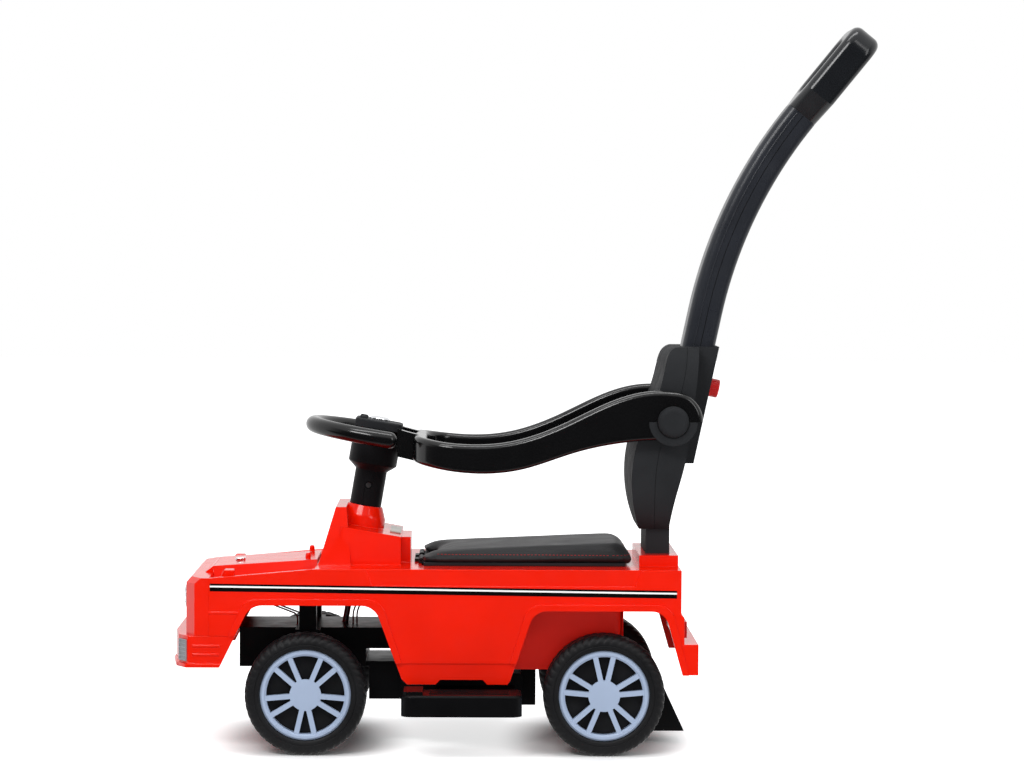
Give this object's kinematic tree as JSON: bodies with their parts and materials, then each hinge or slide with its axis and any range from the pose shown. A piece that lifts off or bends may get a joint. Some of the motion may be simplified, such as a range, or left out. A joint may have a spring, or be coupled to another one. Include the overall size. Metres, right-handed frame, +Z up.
{
  "type": "push car with handle",
  "caption": "Toddler push car shaped like a boxy off-roader, with steered front wheels, lifting seat over a tub, swing-up guard, backrest, slide-in footrests and a push handle.",
  "frame": {"origin": "on the ground, in the middle of the overall length and width", "axes": "+X to the rear of the car, +Y to its right side, +Z up"},
  "size_m": [0.9024, 0.4, 0.9299],
  "materials": {
    "red_shell": "glossy bright red moulded plastic",
    "red_trim": "glossy bright red moulded plastic",
    "clear_lens": "clear domed lens",
    "bright_reflector": "bright reflector",
    "grille_black": "satin black plastic",
    "vent_grey": "grey plastic",
    "bright_trim": "bright plated plastic",
    "panel_silver": "silver plastic",
    "lamp_red": "deep red lamp cover",
    "tub_red": "red moulded plastic",
    "chassis_black": "black moulded plastic",
    "steel": "bright steel rod",
    "tyre_black": "hard black plastic tyre",
    "rim_grey": "satin pale blue-grey plastic",
    "gloss_black": "glossy black plastic",
    "satin_black": "satin black plastic",
    "seat_leather": "black leatherette with red stitching",
    "button_red": "red plastic button",
    "cell_case": "plain cell wrap",
    "wire_red": "thin insulated wire"
  },
  "bodies": {
    "car": {"body_shell": "red_shell", "front_fascia": "red_shell", "front_bumper": "red_shell", "turn_signal_caps": "red_trim", "hood_pegs": "red_trim", "storage_tub": "tub_red", "grille_insert": "grille_black", "headlight_reflectors": "bright_reflector", "headlight_lenses": "clear_lens", "bumper_vents": "vent_grey", "hood_badge": "bright_trim", "dash_panel": "panel_silver", "tail_lights": "lamp_red", "chassis": "chassis_black", "kingpins": "steel", "rear_axle": "steel", "rear_axle_bracket": "chassis_black", "axle_spacers": "satin_black", "anti_tip_skid": "chassis_black", "rear_axle_caps": "steel", "seat_hinge_leaf": "steel", "seat_hinge_pin": "steel", "steering_bush": "satin_black", "backrest_front": "satin_black", "backrest_rear": "satin_black", "battery_box": "chassis_black", "battery_lid": "chassis_black", "battery_cells": "cell_case", "lamp_wires": "wire_red"},
    "steering": {"steering_shaft": "steel", "steering_column": "satin_black", "column_screw": "bright_trim", "steering_wheel": "gloss_black", "hub_pad": "satin_black"},
    "horn": {"horn_button": "bright_trim"},
    "music_left": {"music_button_left": "button_red"},
    "music_right": {"music_button_right": "button_red"},
    "knuckle_left_body": {"knuckle_left": "chassis_black", "front_axle_cap_left": "steel"},
    "knuckle_right_body": {"knuckle_right": "chassis_black", "front_axle_cap_right": "steel"},
    "linkage": {"tie_rod": "steel"},
    "wheel_front_left": {"tyre_front_left": "tyre_black", "rim_front_left": "rim_grey"},
    "wheel_front_right": {"tyre_front_right": "tyre_black", "rim_front_right": "rim_grey"},
    "wheel_rear_left": {"tyre_rear_left": "tyre_black", "rim_rear_left": "rim_grey"},
    "wheel_rear_right": {"tyre_rear_right": "tyre_black", "rim_rear_right": "rim_grey"},
    "guard": {"guard_bar": "gloss_black", "guard_clips": "satin_black"},
    "seat": {"seat_lid": "satin_black", "seat_cushion": "seat_leather"},
    "step_left": {"footrest_left": "chassis_black"},
    "step_right": {"footrest_right": "chassis_black"},
    "handle": {"handle_plug": "gloss_black", "handle_stem": "gloss_black", "handle_grip": "gloss_black"},
    "release": {"release_button": "button_red"}
  },
  "joints": [
    {"name": "steering_turn", "type": "hinge", "parent": "car", "child": "steering", "pos_m": [-0.22, 0, 0.237], "axis": [0.165, 0, 0.9863], "range_deg": [-12, 12]},
    {"name": "horn_press", "type": "slide", "parent": "steering", "child": "horn", "axis": [-0.165, 0, -0.9863], "range_m": [0, 0.0025], "stiffness_N_per_m": 400},
    {"name": "music_left_press", "type": "slide", "parent": "steering", "child": "music_left", "axis": [-0.165, 0, -0.9863], "range_m": [0, 0.0025], "stiffness_N_per_m": 200},
    {"name": "music_right_press", "type": "slide", "parent": "steering", "child": "music_right", "axis": [-0.165, 0, -0.9863], "range_m": [0, 0.0025], "stiffness_N_per_m": 200},
    {"name": "left_knuckle_turn", "type": "hinge", "parent": "car", "child": "knuckle_left_body", "pos_m": [-0.279, -0.072, 0.077], "axis": [0, 0, 1], "range_deg": [-12, 12]},
    {"name": "right_knuckle_turn", "type": "hinge", "parent": "car", "child": "knuckle_right_body", "pos_m": [-0.279, 0.072, 0.077], "axis": [0, 0, 1], "range_deg": [-12, 12]},
    {"name": "tie_rod_turn", "type": "hinge", "parent": "knuckle_left_body", "child": "linkage", "pos_m": [-0.255, -0.072, 0.085], "axis": [0, 0, 1], "range_deg": [-12, 12]},
    {"name": "front_left_spin", "type": "hinge", "parent": "knuckle_left_body", "child": "wheel_front_left", "pos_m": [-0.279, -0.1165, 0.077], "axis": [0, 1, 0], "continuous": true},
    {"name": "front_right_spin", "type": "hinge", "parent": "knuckle_right_body", "child": "wheel_front_right", "pos_m": [-0.279, 0.1165, 0.077], "axis": [0, 1, 0], "continuous": true},
    {"name": "rear_left_spin", "type": "hinge", "parent": "car", "child": "wheel_rear_left", "pos_m": [0.099, -0.1165, 0.077], "axis": [0, 1, 0], "continuous": true},
    {"name": "rear_right_spin", "type": "hinge", "parent": "car", "child": "wheel_rear_right", "pos_m": [0.099, 0.1165, 0.077], "axis": [0, 1, 0], "continuous": true},
    {"name": "guard_swing", "type": "hinge", "parent": "car", "child": "guard", "pos_m": [0.185, 0, 0.424], "axis": [0, 1, 0], "range_deg": [0, 90]},
    {"name": "seat_lift", "type": "hinge", "parent": "car", "child": "seat", "pos_m": [-0.1345, 0, 0.2408], "axis": [0, -1, 0], "range_deg": [0, 60]},
    {"name": "left_step_slide", "type": "slide", "parent": "car", "child": "step_left", "axis": [0, 1, 0], "range_m": [0, 0.056]},
    {"name": "right_step_slide", "type": "slide", "parent": "car", "child": "step_right", "axis": [0, -1, 0], "range_m": [0, 0.056]},
    {"name": "handle_pull", "type": "slide", "parent": "car", "child": "handle", "axis": [0.2079, 0, 0.9781], "range_m": [0, 0.1]},
    {"name": "release_press", "type": "slide", "parent": "car", "child": "release", "axis": [-0.9781, 0, 0.2079], "range_m": [0, 0.0035], "stiffness_N_per_m": 400}
  ],
  "couplings": [
    {"joint": "left_knuckle_turn", "follows": "steering_turn", "ratio": 1},
    {"joint": "right_knuckle_turn", "follows": "steering_turn", "ratio": 1},
    {"joint": "tie_rod_turn", "follows": "steering_turn", "ratio": -1}
  ]
}
